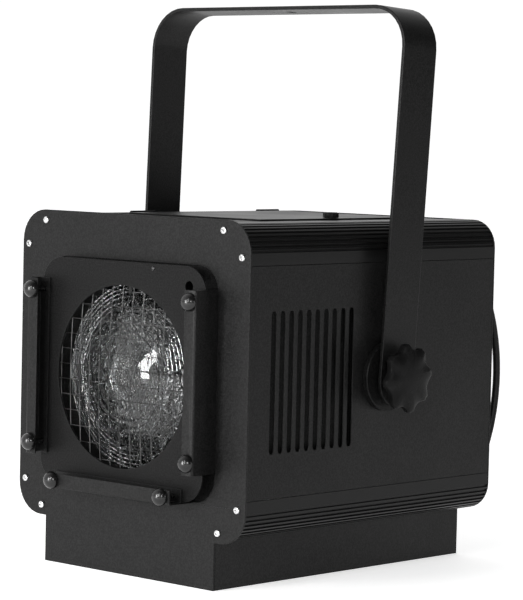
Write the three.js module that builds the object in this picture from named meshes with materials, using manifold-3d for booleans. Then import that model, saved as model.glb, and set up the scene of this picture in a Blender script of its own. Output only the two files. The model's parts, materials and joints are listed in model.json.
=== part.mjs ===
// A large theatre Fresnel spotlight: a ribbed box housing on a base tray, a stepped glass lens behind a
// wire guard, runners for colour frames, a sprung yoke with two clamp knobs, a relamping hatch in the
// top, and a lamp carriage that a screw drives along two rods to focus the beam.
// Millimetres, +Z up, the lens faces -Y. The origin is the centre of the underside of the base.
import * as THREE from 'three';
import { mergeVertices } from 'three/addons/utils/BufferGeometryUtils.js';
import Module from 'manifold-3d';

// Driving dimensions
const GAP = 0.3;
const BODY_LENGTH = 391;
const BASE_LENGTH = 386;
const PLATE_WIDTH = 335;
const PLATE_HEIGHT = 325;
const PLATE_RADIUS = 33.5;
const PLATE_THICKNESS = 2;
const SHEET = 1.5;
const SKIN_INSET = 4;
const BASE_WIDTH = 250;
const BASE_HEIGHT = 48.5;
const FLANGE_LENGTH = 11.5;
const FLANGE_THICKNESS = 3;
const OPTIC_Z = 206.5;
const APERTURE_RADIUS = 94.3;
const LENS_RADIUS = 100;
const LENS_PLATE_WIDTH = 240;
const LENS_PLATE_HEIGHT = 238;
const LENS_PLATE_STANDOFF = 13.5;
const RUNNER_LENGTH = 185;
const RUNNER_REACH = 123.5;
const RUNNER_FLANGE = 15;
const RUNNER_SHEET = 1.6;
const RUNNER_SLOT = 15;
const RUNNER_RISE = 4;
const RUNNER_BOLT_SPACING = 161;
const PIVOT_Y = 19.5;
const PIVOT_Z = 209;
const YOKE_TILT = THREE.MathUtils.degToRad(2.96);
const YOKE_WIDTH = 52;
const YOKE_THICKNESS = 4;
const YOKE_RISE = 385.7;
const YOKE_BEND_RADIUS = 43.8;
const YOKE_OUTSIDE_X = 180;
const YOKE_SPLAY = 0.016;
const KNOB_RADIUS = 36;
const KNOB_OUTSIDE_X = 200;
const ROD_Z = 66;
const ROD_X = 55;
const FILAMENT_Y = 34;

// Positions that follow from them
const FRONT = -BASE_LENGTH / 2;
const BACK = FRONT + BODY_LENGTH;
const BASE_BACK = BASE_LENGTH / 2;
const PLATE_Z = BASE_HEIGHT + PLATE_HEIGHT / 2;
const SKIN_X = PLATE_WIDTH / 2 - SKIN_INSET;
const SKIN_TOP = BASE_HEIGHT + PLATE_HEIGHT - SKIN_INSET;
const SKIN_BOTTOM = BASE_HEIGHT + SKIN_INSET;
const SKIN_RADIUS = PLATE_RADIUS - SKIN_INSET;
const CORNER_X = SKIN_X - SKIN_RADIUS;
const INNER_LENGTH = BODY_LENGTH - 2 * (PLATE_THICKNESS + GAP);
const INNER_FRONT = FRONT + PLATE_THICKNESS + GAP;
const INNER_BACK = BACK - PLATE_THICKNESS - GAP;
const PANEL_HALF = CORNER_X - FLANGE_LENGTH - GAP;
const LENS_PLATE_FRONT = FRONT - LENS_PLATE_STANDOFF;
const LENS_PLATE_BACK = LENS_PLATE_FRONT + PLATE_THICKNESS;
const SIDES = [['right', 1], ['left', -1]];

const POWDER_COAT = { color: 0x1b1b1c, roughness: 0.55, metalness: 0.1 };
const BLACK_ALUMINIUM = { color: 0x141415, roughness: 0.4, metalness: 0.4 };
const BLACK_PLASTIC = { color: 0x0b0b0c, roughness: 0.3, metalness: 0 };
const ZINC = { color: 0xc9cbd0, roughness: 0.3, metalness: 1 };
const STEEL = { color: 0x8d9196, roughness: 0.35, metalness: 1 };
const ALUMINIUM = { color: 0xb8bbc0, roughness: 0.2, metalness: 1 };
const CERAMIC = { color: 0xe4dfd2, roughness: 0.6, metalness: 0 };
const GLASS = { color: 0xdfe9ee, roughness: 0.05, metalness: 0, transparent: true, opacity: 0.35 };

const model = new THREE.Group();

function piece(name, geometry, finish) {
  const mesh = new THREE.Mesh(geometry, new THREE.MeshStandardMaterial(finish));
  mesh.name = name;
  model.add(mesh);
  return mesh;
}

// Joining and cutting
const wasm = await Module();
wasm.setup();

function toSolid(geometry) {
  const bare = geometry.clone();
  bare.deleteAttribute('normal');
  bare.deleteAttribute('uv');
  const merged = mergeVertices(bare, 1e-4);
  return new wasm.Manifold(new wasm.Mesh({
    numProp: 3,
    vertProperties: new Float32Array(merged.attributes.position.array),
    triVerts: new Uint32Array(merged.index.array),
  }));
}

function toGeometry(solid) {
  const mesh = solid.getMesh();
  const geometry = new THREE.BufferGeometry();
  geometry.setAttribute('position', new THREE.BufferAttribute(mesh.vertProperties, 3));
  geometry.setIndex(new THREE.BufferAttribute(mesh.triVerts, 1));
  geometry.computeVertexNormals();
  return geometry;
}

function join(first, ...others) {
  return toGeometry(others.reduce((solid, other) => solid.add(toSolid(other)), toSolid(first)));
}

function cut(first, ...tools) {
  return toGeometry(tools.reduce((solid, tool) => solid.subtract(toSolid(tool)), toSolid(first)));
}

function common(first, second) {
  return toGeometry(toSolid(first).intersect(toSolid(second)));
}

// Outlines
function arc(cx, cy, radius, from, to, steps) {
  return Array.from({ length: steps + 1 }, (_, i) => {
    const angle = THREE.MathUtils.degToRad(from + (to - from) * i / steps);
    return new THREE.Vector2(cx + radius * Math.cos(angle), cy + radius * Math.sin(angle));
  });
}

function polar(radius, degrees) {
  const angle = THREE.MathUtils.degToRad(degrees);
  return new THREE.Vector2(radius * Math.cos(angle), radius * Math.sin(angle));
}

function circle(cx, cy, radius, sides) {
  return arc(cx, cy, radius, 0, 360 - 360 / sides, sides - 1);
}

function rectangle(x0, y0, x1, y1) {
  return [[x0, y0], [x1, y0], [x1, y1], [x0, y1]].map(([x, y]) => new THREE.Vector2(x, y));
}

function roundedRectangle(cx, cy, width, height, radius, steps) {
  const x = width / 2 - radius;
  const y = height / 2 - radius;
  return [
    ...arc(cx + x, cy - y, radius, -90, 0, steps),
    ...arc(cx + x, cy + y, radius, 0, 90, steps),
    ...arc(cx - x, cy + y, radius, 90, 180, steps),
    ...arc(cx - x, cy - y, radius, 180, 270, steps),
  ];
}

function slab(outline, thickness, holes = []) {
  const shape = new THREE.Shape(outline);
  shape.holes = holes.map((points) => new THREE.Path(points));
  return new THREE.ExtrudeGeometry(shape, { depth: thickness, bevelEnabled: false });
}

// An outline drawn in X and Z, thickened along +Y from y
function facingFront(outline, y, thickness, holes = []) {
  return slab(outline, thickness, holes).rotateX(Math.PI / 2).translate(0, y + thickness, 0);
}

// An outline drawn in Y and Z, thickened along +X from x
function facingSide(outline, x, thickness, holes = []) {
  return slab(outline, thickness, holes).rotateX(Math.PI / 2).rotateZ(Math.PI / 2).translate(x, 0, 0);
}

// An outline drawn in X and Y, thickened along +Z from z
function lying(outline, z, thickness, holes = []) {
  return slab(outline, thickness, holes).translate(0, 0, z);
}

function box(x0, y0, z0, x1, y1, z1) {
  return lying(rectangle(x0, y0, x1, y1), z0, z1 - z0);
}

function rodAlongX(x0, x1, y, z, radius, sides) {
  return facingSide(circle(y, z, radius, sides), x0, x1 - x0);
}

function rodAlongY(y0, y1, x, z, radius, sides) {
  return facingFront(circle(x, z, radius, sides), y0, y1 - y0);
}

function rodAlongZ(z0, z1, x, y, radius, sides) {
  return lying(circle(x, y, radius, sides), z0, z1 - z0);
}

// A closed profile of [radius, height] pairs, turned about an axis through the point at
function turned(profile, sides, axis, at) {
  const points = profile.map(([radius, height]) => new THREE.Vector2(radius, height));
  const turn = new THREE.Quaternion().setFromUnitVectors(new THREE.Vector3(0, 1, 0), axis);
  return new THREE.LatheGeometry(points, sides).applyQuaternion(turn).translate(...at);
}

const UP = new THREE.Vector3(0, 0, 1);
const FORWARD = new THREE.Vector3(0, -1, 0);
const BACKWARD = new THREE.Vector3(0, 1, 0);

// Housing: a front plate that stands proud of the skin, a rear plate flush with it, four ribbed corner
// extrusions and flat panels between them, and the base tray
const SCREW_ALONG = 3.4;
const SCREW_OUT = 22.6;
const SCREW_HOLE = 2.4;
const CORNERS = [
  ['top_right', 1, 1, 0],
  ['bottom_right', 1, -1, Math.PI / 2],
  ['bottom_left', -1, -1, Math.PI],
  ['top_left', -1, 1, -Math.PI / 2],
];
const CORNER_Z = SKIN_TOP - SKIN_RADIUS - PLATE_Z;

function screwPlaces(sx, sz) {
  const x = sx * CORNER_X;
  const z = PLATE_Z + sz * CORNER_Z;
  return [
    [x - sx * SCREW_ALONG, z + sz * SCREW_OUT],
    [x + sx * SCREW_OUT, z - sz * SCREW_ALONG],
  ];
}

// The front plate has a tongue that reaches down in front of the base tray
function frontPlateOutline() {
  const x = PLATE_WIDTH / 2 - PLATE_RADIUS;
  const top = BASE_HEIGHT + PLATE_HEIGHT - PLATE_RADIUS;
  const bottom = BASE_HEIGHT + PLATE_RADIUS;
  const foot = BASE_WIDTH / 2;
  return [
    ...rectangle(-foot, 0, foot, BASE_HEIGHT).slice(0, 3),
    ...arc(x, bottom, PLATE_RADIUS, -90, 0, 8),
    ...arc(x, top, PLATE_RADIUS, 0, 90, 8),
    ...arc(-x, top, PLATE_RADIUS, 90, 180, 8),
    ...arc(-x, bottom, PLATE_RADIUS, 180, 270, 8),
    new THREE.Vector2(-foot, BASE_HEIGHT),
  ];
}

const FOCUS_SCREW_RADIUS = 5;
const GLAND_X = -70;
const GLAND_Z = 26;
const GLAND_BORE = 5;

function addEndPlates() {
  const openingWidth = LENS_PLATE_WIDTH + 8;
  const openingHeight = LENS_PLATE_HEIGHT + 1;
  const opening = roundedRectangle(0, OPTIC_Z, openingWidth, openingHeight, 27, 6);
  const screwHoles = CORNERS.flatMap(([, sx, sz]) => screwPlaces(sx, sz))
    .map(([x, z]) => circle(x, z, SCREW_HOLE, 8));
  const front = facingFront(frontPlateOutline(), FRONT, PLATE_THICKNESS, [opening, ...screwHoles]);
  piece('front_plate', front, POWDER_COAT);
  const skin = roundedRectangle(0, PLATE_Z, 2 * SKIN_X, SKIN_TOP - SKIN_BOTTOM, SKIN_RADIUS, 8);
  const screwBore = circle(0, ROD_Z, FOCUS_SCREW_RADIUS + 1, 12);
  const rear = facingFront(skin, BACK - PLATE_THICKNESS, PLATE_THICKNESS, [screwBore]);
  piece('rear_plate', rear, POWDER_COAT);
}

function addPlateScrews() {
  const profile = [[0, -10], [1.8, -10], [1.8, GAP], [4.2, GAP], [4.2, 1.6], [2.6, 2.9], [0, 2.9]];
  for (const [corner, sx, sz] of CORNERS) {
    screwPlaces(sx, sz).forEach(([x, z], i) => {
      piece(`plate_screw_${corner}_${i + 1}`, turned(profile, 8, FORWARD, [x, FRONT, z]), ZINC);
    });
  }
}

// The section of a corner extrusion, with the centre of its round at the origin. Each groove is a
// notch between two ribs; its mouth and its floor are given as half angles in degrees.
function ribbedSection() {
  const ribs = 9;
  const groove = 1.8;
  const outer = SKIN_RADIUS;
  const inner = SKIN_RADIUS - FLANGE_THICKNESS;
  const mouth = 2.8;
  const floor = 2.2;
  const grooves = Array.from({ length: ribs }, (_, i) => {
    const middle = 90 * (i + 0.5) / ribs;
    return [
      polar(outer, middle - mouth),
      polar(outer - groove, middle - floor),
      polar(outer - groove, middle + floor),
      polar(outer, middle + mouth),
    ];
  }).flat();
  return [
    new THREE.Vector2(inner, -FLANGE_LENGTH),
    new THREE.Vector2(outer, -FLANGE_LENGTH),
    ...grooves,
    new THREE.Vector2(-FLANGE_LENGTH, outer),
    new THREE.Vector2(-FLANGE_LENGTH, inner),
    ...arc(0, 0, inner, 90, 0, 6),
  ];
}

function cornerExtrusion() {
  const bossRadius = 4.6;
  const bosses = [[SCREW_OUT, -SCREW_ALONG], [-SCREW_ALONG, SCREW_OUT]];
  const shell = facingFront(ribbedSection(), INNER_FRONT, INNER_LENGTH);
  const ports = bosses.map(([x, z]) => rodAlongY(INNER_FRONT, INNER_BACK, x, z, bossRadius, 10));
  const bores = bosses.map(([x, z]) => rodAlongY(FRONT, BACK, x, z, SCREW_HOLE, 8));
  return cut(join(shell, ...ports), ...bores);
}

function addCornerExtrusions() {
  for (const [corner, sx, sz, turn] of CORNERS) {
    const mesh = piece(`corner_extrusion_${corner}`, cornerExtrusion(), BLACK_ALUMINIUM);
    mesh.position.set(sx * CORNER_X, 0, PLATE_Z + sz * CORNER_Z);
    mesh.rotation.y = turn;
  }
}

const VENT_COUNT = 10;
const VENT_PITCH = 13;
const VENT_WIDTH = 7;
const VENT_BOTTOM = 138.5;
const VENT_TOP = 283;
const VENT_FIRST_Y = FRONT + 40;
const PIVOT_HOLE = 5.6;

function ventSlots() {
  const r = VENT_WIDTH / 2;
  return Array.from({ length: VENT_COUNT }, (_, i) => {
    const y = VENT_FIRST_Y + i * VENT_PITCH;
    return [...arc(y, VENT_TOP - r, r, 0, 180, 3), ...arc(y, VENT_BOTTOM + r, r, 180, 360, 3)];
  });
}

function addSidePanels() {
  const low = PLATE_Z - CORNER_Z + FLANGE_LENGTH + GAP;
  const high = PLATE_Z + CORNER_Z - FLANGE_LENGTH - GAP;
  const outline = rectangle(INNER_FRONT, low, INNER_BACK, high);
  const holes = [...ventSlots(), circle(PIVOT_Y, PIVOT_Z, PIVOT_HOLE, 12)];
  for (const [side, sx] of SIDES) {
    const x = sx > 0 ? SKIN_X - SHEET : -SKIN_X;
    piece(`side_panel_${side}`, facingSide(outline, x, SHEET, holes), POWDER_COAT);
  }
}

// A folded sheet behind each set of vents, which lets air up and keeps light in
function addVentBaffles() {
  const y0 = VENT_FIRST_Y - 17;
  const y1 = VENT_FIRST_Y + (VENT_COUNT - 1) * VENT_PITCH + 14;
  const far = SKIN_X - SHEET - GAP;
  const near = far - 11;
  for (const [side, sx] of SIDES) {
    const section = [
      [far, y0], [far, y0 + SHEET], [near + SHEET, y0 + SHEET], [near + SHEET, y1 - SHEET],
      [far, y1 - SHEET], [far, y1], [near, y1], [near, y0],
    ].map(([x, y]) => new THREE.Vector2(sx * x, y));
    const baffle = lying(section, VENT_BOTTOM - 10, VENT_TOP - VENT_BOTTOM + 20);
    piece(`vent_baffle_${side}`, baffle, POWDER_COAT);
  }
}

const TOP_PANEL_Z = SKIN_TOP - SHEET - 1;
const HATCH_Z = TOP_PANEL_Z + SHEET + GAP;
const HATCH_LEFT = -116;
const HATCH_RIGHT = 80;
const HATCH_CENTRE_Y = 35.5;
const HATCH_LENGTH = 246;
const HATCH_SCREW_X = HATCH_RIGHT - 12.5;
const HINGE_X = HATCH_LEFT - 2.6;
const HINGE_Z = HATCH_Z + 1.6;
const HINGE_RADIUS = 1.6;
const HINGE_HALF_LENGTH = 18;
const HINGE_FROM_CENTRE = 99.5;

function addTopAndBottomPanels() {
  const outline = rectangle(-PANEL_HALF, INNER_FRONT, PANEL_HALF, INNER_BACK);
  const reach = HATCH_LENGTH / 2 - 14;
  const access = rectangle(-104, HATCH_CENTRE_Y - reach, 52, HATCH_CENTRE_Y + reach);
  const screwHole = circle(HATCH_SCREW_X, HATCH_CENTRE_Y, 2.6, 8);
  piece('top_panel', lying(outline, TOP_PANEL_Z, SHEET, [access, screwHole]), POWDER_COAT);
  const intakes = [-85, 85].flatMap((x) => [-110, 20].map((y) => (
    box(x - 15, y, SKIN_BOTTOM - 1, x + 15, y + 100, SKIN_BOTTOM + SHEET + 1)
  )));
  piece('bottom_panel', cut(lying(outline, SKIN_BOTTOM, SHEET), ...intakes), POWDER_COAT);
}

// A channel open at the front, where the front plate's tongue covers it, with a wall at the rear
function addBaseTray() {
  const x = BASE_WIDTH / 2;
  const top = SKIN_BOTTOM - GAP;
  const section = [
    [-x, 0], [x, 0], [x, top], [x - SHEET, top],
    [x - SHEET, SHEET], [SHEET - x, SHEET], [SHEET - x, top], [-x, top],
  ].map(([px, pz]) => new THREE.Vector2(px, pz));
  const channel = facingFront(section, INNER_FRONT, BASE_BACK - INNER_FRONT);
  const wall = box(-x, BASE_BACK - SHEET, 0, x, BASE_BACK, top);
  const glandHole = rodAlongY(BASE_BACK - 10, BASE_BACK + 10, GLAND_X, GLAND_Z, GLAND_BORE, 12);
  piece('base_tray', cut(join(channel, wall), glandHole), POWDER_COAT);
}

function addHatch() {
  const y0 = HATCH_CENTRE_Y - HATCH_LENGTH / 2;
  const outline = rectangle(HATCH_LEFT, y0, HATCH_RIGHT, y0 + HATCH_LENGTH);
  const screwHole = circle(HATCH_SCREW_X, HATCH_CENTRE_Y, 2.4, 8);
  piece('top_hatch', lying(outline, HATCH_Z, SHEET, [screwHole]), POWDER_COAT);
  for (const [place, sy] of [['front', -1], ['rear', 1]]) {
    const y = HATCH_CENTRE_Y + sy * HINGE_FROM_CENTRE;
    const near = y - HINGE_HALF_LENGTH;
    const far = y + HINGE_HALF_LENGTH;
    const barrel = rodAlongY(near, far, HINGE_X, HINGE_Z, HINGE_RADIUS, 8);
    const leaf = box(-PANEL_HALF + GAP, near, HATCH_Z, HINGE_X, far, HATCH_Z + 0.8);
    piece(`hatch_hinge_${place}`, join(barrel, leaf), BLACK_ALUMINIUM);
  }
  const under = HATCH_Z + SHEET + GAP;
  const screw = [[0, -11], [1.9, -11], [1.9, 0], [8.5, 0], [8.5, 4.8], [7.5, 5.8], [0, 5.8]];
  piece('hatch_screw', turned(screw, 12, UP, [HATCH_SCREW_X, HATCH_CENTRE_Y, under]), BLACK_PLASTIC);
}

// Optics: the lens in its holder, the wire guard and the square lens plate in front of them
const HOLDER_BORE = 102;
const HOLDER_WALL = 2.5;
const LENS_BACK_Y = FRONT + 17;
const LENS_ZONES = 8;
const LENS_RIM = 9;
const LENS_BULGE = 16;
const LENS_STEP = 3;
const GUARD_PITCH_X = 30.4;
const GUARD_PITCH_Z = 32;
const GUARD_WIRE = 1.6;
const BOLT_HOLE = 2.9;
const BOLT_X = RUNNER_REACH - RUNNER_FLANGE / 2;
const BOTTOM_REACH = LENS_PLATE_HEIGHT / 2 + 2;

// Where the six runner bolts stand on the lens plate, as [name, x, z]
function runnerBolts() {
  const half = RUNNER_BOLT_SPACING / 2;
  const middle = OPTIC_Z + RUNNER_RISE;
  const bottomZ = OPTIC_Z - BOTTOM_REACH + RUNNER_FLANGE / 2;
  return [
    ['right_upper', BOLT_X, middle + half],
    ['right_lower', BOLT_X, middle - half],
    ['left_upper', -BOLT_X, middle + half],
    ['left_lower', -BOLT_X, middle - half],
    ['bottom_right', half, bottomZ],
    ['bottom_left', -half, bottomZ],
  ];
}

function addLensPlate() {
  const outline = roundedRectangle(0, OPTIC_Z, LENS_PLATE_WIDTH, LENS_PLATE_HEIGHT, 28, 6);
  const holes = [
    circle(0, OPTIC_Z, APERTURE_RADIUS, 40),
    circle(96, OPTIC_Z + 98.5, 5.5, 12),
    ...runnerBolts().map(([, x, z]) => circle(x, z, BOLT_HOLE, 8)),
  ];
  piece('lens_plate', facingFront(outline, LENS_PLATE_FRONT, PLATE_THICKNESS, holes), POWDER_COAT);
}

// A square flange behind the front plate with a short tube, which has a ledge behind the lens
function addLensHolder() {
  const bore = HOLDER_BORE;
  const outside = bore + HOLDER_WALL;
  const ledge = LENS_RADIUS - 2;
  const front = -(LENS_PLATE_BACK + GAP);
  const seat = -(LENS_BACK_Y + GAP);
  const back = seat - 3;
  const tube = turned(
    [[ledge, back], [outside, back], [outside, front], [bore, front], [bore, seat], [ledge, seat], [ledge, back]],
    32, FORWARD, [0, 0, OPTIC_Z],
  );
  const flange = facingFront(
    roundedRectangle(0, OPTIC_Z, LENS_PLATE_WIDTH + 28, LENS_PLATE_HEIGHT + 22, 30, 3),
    INNER_FRONT, SHEET, [circle(0, OPTIC_Z, bore + 1, 32)],
  );
  piece('lens_holder', join(tube, flange), POWDER_COAT);
}

// A flat back and a stepped front whose zones have equal areas and whose tips follow a shallow dome
function lensProfile() {
  const dome = (r) => LENS_RIM + LENS_BULGE * (1 - (r / LENS_RADIUS) ** 2);
  const profile = [[0, 0], [LENS_RADIUS, 0]];
  for (let zone = LENS_ZONES; zone >= 1; zone -= 1) {
    const inner = LENS_RADIUS * Math.sqrt((zone - 1) / LENS_ZONES);
    const outer = LENS_RADIUS * Math.sqrt(zone / LENS_ZONES);
    profile.push([outer, dome(outer) - LENS_STEP]);
    if (zone > 1) profile.push([inner + 0.5, dome(inner)]);
  }
  const eyeRadius = LENS_RADIUS / Math.sqrt(LENS_ZONES);
  profile.push([eyeRadius / 2, dome(0) - LENS_STEP / 4], [0, dome(0)]);
  return profile;
}

function addLens() {
  piece('fresnel_lens', turned(lensProfile(), 28, FORWARD, [0, LENS_BACK_Y, OPTIC_Z]), GLASS);
}

function guardBars(reach, pitch, first) {
  const bars = [];
  for (let offset = first; offset < reach; offset += pitch) {
    const half = Math.sqrt(reach ** 2 - offset ** 2);
    bars.push([offset, half]);
    if (offset > 0) bars.push([-offset, half]);
  }
  return bars;
}

function addWireGuard() {
  const inner = APERTURE_RADIUS + 1.5;
  const reach = inner + 2;
  const y = LENS_PLATE_BACK + GAP;
  const w = GUARD_WIRE / 2;
  const ring = facingFront(circle(0, 0, inner + 6, 32), y, GUARD_WIRE, [circle(0, 0, inner, 32)]);
  const upright = guardBars(reach, GUARD_PITCH_X, 0)
    .map(([x, half]) => facingFront(rectangle(x - w, -half, x + w, half), y, GUARD_WIRE));
  const level = guardBars(reach, GUARD_PITCH_Z, GUARD_PITCH_Z / 2)
    .map(([z, half]) => facingFront(rectangle(-half, z - w, half, z + w), y, GUARD_WIRE));
  const mesh = piece('wire_guard', join(ring, ...upright, ...level), STEEL);
  mesh.position.z = OPTIC_Z;
}

// A runner is an F section: a front lip, a rear flange on the lens plate, and a wall outside them
function runner(reach, tailY) {
  const flangeBack = LENS_PLATE_FRONT - GAP;
  const flangeFront = flangeBack - RUNNER_SHEET;
  const lipBack = flangeFront - RUNNER_SLOT;
  const lipFront = lipBack - RUNNER_SHEET;
  const edge = reach - RUNNER_FLANGE;
  const wall = reach - RUNNER_SHEET;
  const section = [
    [edge, lipFront], [reach, lipFront], [reach, tailY], [wall, tailY], [wall, flangeBack],
    [edge, flangeBack], [edge, flangeFront], [wall, flangeFront], [wall, lipBack], [edge, lipBack],
  ].map(([x, y]) => new THREE.Vector2(x, y));
  const x = reach - RUNNER_FLANGE / 2;
  const holes = [-1, 1].map((sz) => (
    rodAlongY(lipFront - 1, flangeBack + 1, x, sz * RUNNER_BOLT_SPACING / 2, BOLT_HOLE, 8)
  ));
  return cut(lying(section, -RUNNER_LENGTH / 2, RUNNER_LENGTH), ...holes);
}

function addRunners() {
  const inOpening = FRONT + PLATE_THICKNESS - 0.5;
  const right = piece('runner_right', runner(RUNNER_REACH, inOpening), POWDER_COAT);
  right.position.z = OPTIC_Z + RUNNER_RISE;
  const left = piece('runner_left', runner(RUNNER_REACH, inOpening), POWDER_COAT);
  left.position.z = OPTIC_Z + RUNNER_RISE;
  left.rotation.y = Math.PI;
  const bottom = piece('runner_bottom', runner(BOTTOM_REACH, FRONT - GAP), POWDER_COAT);
  bottom.position.z = OPTIC_Z;
  bottom.rotation.y = Math.PI / 2;
}

// Each bolt is a round black head in front of the lip, a shank across the slot and a nut behind the plate
function addRunnerBolts() {
  const shank = 2.4;
  const head = 9.3;
  const nut = 4.6;
  const behind = RUNNER_SHEET * 2 + RUNNER_SLOT + GAP + PLATE_THICKNESS + GAP;
  const round = Array.from({ length: 3 }, (_, i) => {
    const angle = Math.PI / 2 * i / 3;
    return [head * Math.cos(angle), GAP + head * Math.sin(angle)];
  });
  const profile = [
    [0, -behind - 5], [shank, -behind - 5], [shank, -behind - 4], [nut, -behind - 4], [nut, -behind],
    [shank, -behind], [shank, GAP], ...round, [0, GAP + head],
  ];
  const lipFront = LENS_PLATE_FRONT - GAP - 2 * RUNNER_SHEET - RUNNER_SLOT;
  for (const [name, x, z] of runnerBolts()) {
    piece(`runner_bolt_${name}`, turned(profile, 9, FORWARD, [x, lipFront, z]), BLACK_PLASTIC);
  }
}

// Pivots: inside bracket, bolt, friction disc, yoke arm and clamp knob, from the inside outwards
const PIVOT_BOLT = 5;
const BRACKET_THICKNESS = 3.7;
const DISC_STEP = 6.2;
const DISC_HEIGHT = 11.5;

function addPivots() {
  const disc = [
    [PIVOT_HOLE, 0], [36.5, 0], [36.5, DISC_STEP], [18, DISC_STEP],
    [18, DISC_HEIGHT], [PIVOT_HOLE, DISC_HEIGHT], [PIVOT_HOLE, 0],
  ];
  const bracketFar = SKIN_X - SHEET - GAP;
  const bracketNear = bracketFar - BRACKET_THICKNESS;
  const headFar = bracketNear - GAP;
  const headNear = headFar - 7;
  const tip = KNOB_OUTSIDE_X - 4.5;
  const bolt = [[0, headNear], [9, headNear], [9, headFar], [PIVOT_BOLT, headFar], [PIVOT_BOLT, tip], [0, tip]];
  const strip = rectangle(PIVOT_Y - 30, 96, PIVOT_Y + 30, 326);
  const hole = circle(PIVOT_Y, PIVOT_Z, PIVOT_HOLE, 12);
  for (const [side, sx] of SIDES) {
    const outward = new THREE.Vector3(sx, 0, 0);
    const near = sx > 0 ? bracketNear : -bracketFar;
    const skin = [sx * (SKIN_X + GAP), PIVOT_Y, PIVOT_Z];
    piece(`pivot_bracket_${side}`, facingSide(strip, near, BRACKET_THICKNESS, [hole]), STEEL);
    piece(`pivot_bolt_${side}`, turned(bolt, 12, outward, [0, PIVOT_Y, PIVOT_Z]), ZINC);
    piece(`friction_disc_${side}`, turned(disc, 24, outward, skin), BLACK_PLASTIC);
  }
}

// The yoke: one flat bar bent to a U, round at both ends, leaning back on its pivots
function yokeFrontOutline() {
  const bendRise = YOKE_RISE - YOKE_BEND_RADIUS;
  const foot = -YOKE_WIDTH;
  const outside = (rise) => YOKE_OUTSIDE_X + YOKE_SPLAY * rise;
  const centre = outside(bendRise) - YOKE_BEND_RADIUS;
  const inner = YOKE_BEND_RADIUS - YOKE_THICKNESS;
  return [
    new THREE.Vector2(outside(foot), foot),
    ...arc(centre, bendRise, YOKE_BEND_RADIUS, 0, 90, 8),
    ...arc(-centre, bendRise, YOKE_BEND_RADIUS, 90, 180, 8),
    new THREE.Vector2(-outside(foot), foot),
    new THREE.Vector2(YOKE_THICKNESS - outside(foot), foot),
    ...arc(-centre, bendRise, inner, 180, 90, 8),
    ...arc(centre, bendRise, inner, 90, 0, 8),
    new THREE.Vector2(outside(foot) - YOKE_THICKNESS, foot),
  ];
}

function addYoke() {
  const half = YOKE_WIDTH / 2;
  const wide = PLATE_WIDTH;
  const high = YOKE_RISE + 10;
  const sideOutline = [
    ...arc(0, -5, half, 180, 360, 10), new THREE.Vector2(half, high), new THREE.Vector2(-half, high),
  ];
  const bar = common(
    facingFront(yokeFrontOutline(), -half, YOKE_WIDTH),
    facingSide(sideOutline, -wide, 2 * wide),
  );
  const pivotHoles = rodAlongX(-wide, wide, 0, 0, PIVOT_HOLE, 12);
  const hangingHole = rodAlongZ(YOKE_RISE - 20, high, 0, 0, 5.5, 12);
  const mesh = piece('yoke', cut(bar, pivotHoles, hangingHole), POWDER_COAT);
  mesh.position.set(0, PIVOT_Y, PIVOT_Z);
  mesh.rotation.x = -YOKE_TILT;
}

// A knob outline: lobes with narrow tips and wide hollows between them
function lobedOutline(radius, depth, lobes, phase) {
  const steps = 4;
  return Array.from({ length: lobes * steps }, (_, i) => {
    const across = 2 * (i % steps) / steps - 1;
    const angle = phase + 2 * Math.PI * i / (lobes * steps);
    const r = radius - depth * (1 - across ** 2);
    return new THREE.Vector2(r * Math.cos(angle), r * Math.sin(angle));
  });
}

function clampKnob() {
  const chamfer = 1.5;
  const rim = 10;
  const hubStart = YOKE_OUTSIDE_X + 0.6;
  const rimStart = KNOB_OUTSIDE_X - rim;
  const outline = lobedOutline(KNOB_RADIUS, 6, 8, THREE.MathUtils.degToRad(7));
  const grip = new THREE.ExtrudeGeometry(new THREE.Shape(outline), {
    depth: rim - 2 * chamfer,
    bevelThickness: chamfer,
    bevelSize: chamfer,
    bevelOffset: -chamfer,
    bevelSegments: 1,
  }).rotateX(Math.PI / 2).rotateZ(Math.PI / 2).translate(rimStart + chamfer, 0, 0);
  const hub = rodAlongX(hubStart, rimStart + 1, 0, 0, 15, 16);
  const bore = rodAlongX(hubStart - 1, KNOB_OUTSIDE_X - 4, 0, 0, PIVOT_HOLE, 12);
  return cut(join(grip, hub), bore);
}

function addClampKnobs() {
  for (const [side, sx] of SIDES) {
    const mesh = piece(`clamp_knob_${side}`, clampKnob(), BLACK_PLASTIC);
    mesh.position.set(0, PIVOT_Y, PIVOT_Z);
    mesh.rotation.z = sx > 0 ? 0 : Math.PI;
  }
}

// Focus drive: two rods and a screw in end brackets, a sled on the rods, and a knob behind the housing
const BRACKET_HALF_WIDTH = 75;
const FRONT_BRACKET_Y = FRONT + 26;
const REAR_BRACKET_Y = BACK - 26;
const ROD_RADIUS = 4;
const RUNNING_HOLE = 4.4;

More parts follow.
